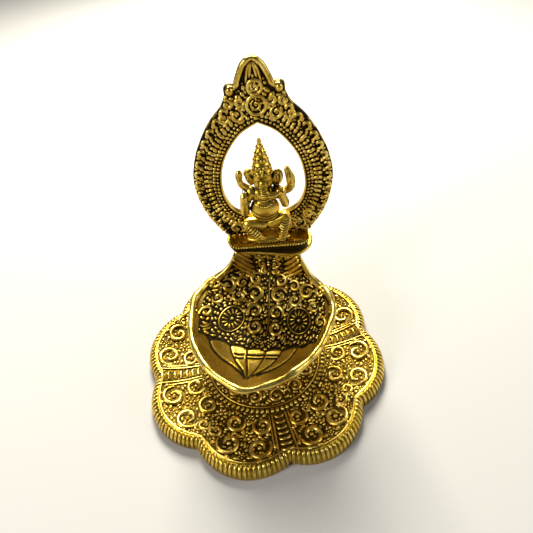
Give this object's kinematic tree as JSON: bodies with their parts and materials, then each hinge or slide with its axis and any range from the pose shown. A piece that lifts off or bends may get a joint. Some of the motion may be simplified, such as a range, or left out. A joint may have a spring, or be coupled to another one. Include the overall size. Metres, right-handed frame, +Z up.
{
  "type": "diya oil lamp",
  "caption": "Devotional oil lamp: scalloped dish, leaf-shaped oil bowl on a short stem, and a small arched shrine with a seated elephant-headed figure.",
  "frame": {"origin": "on the table, under the middle of the base plate", "axes": "+Z up; the bowl's spout points along -Y and the shrine stands at +Y"},
  "size_m": [0.1264, 0.1264, 0.1443],
  "materials": {
    "gilt_cast": "antique gold plate, darkened in the recesses and rubbed bright on the high spots",
    "plated_steel": "dull zinc plate"
  },
  "bodies": {
    "plate": {"base_plate": "gilt_cast"},
    "bowl": {"oil_bowl": "gilt_cast", "bowl_pedestal": "gilt_cast", "bowl_stud": "plated_steel", "stud_washer": "plated_steel", "stud_nut": "plated_steel", "seat_plate": "gilt_cast"},
    "shrine": {"shrine_ledge": "gilt_cast", "arch_frame": "gilt_cast", "deity_figure": "gilt_cast", "shrine_screw": "plated_steel", "screw_washer": "plated_steel"}
  },
  "joints": [
    {"name": "bowl_swivel", "type": "hinge", "parent": "plate", "child": "bowl", "pos_m": [0, 0, 0.0084], "axis": [0, 0, 1], "continuous": true},
    {"name": "shrine_swivel", "type": "hinge", "parent": "bowl", "child": "shrine", "pos_m": [0, 0.0415, 0.051], "axis": [0, 0, 1], "continuous": true}
  ]
}
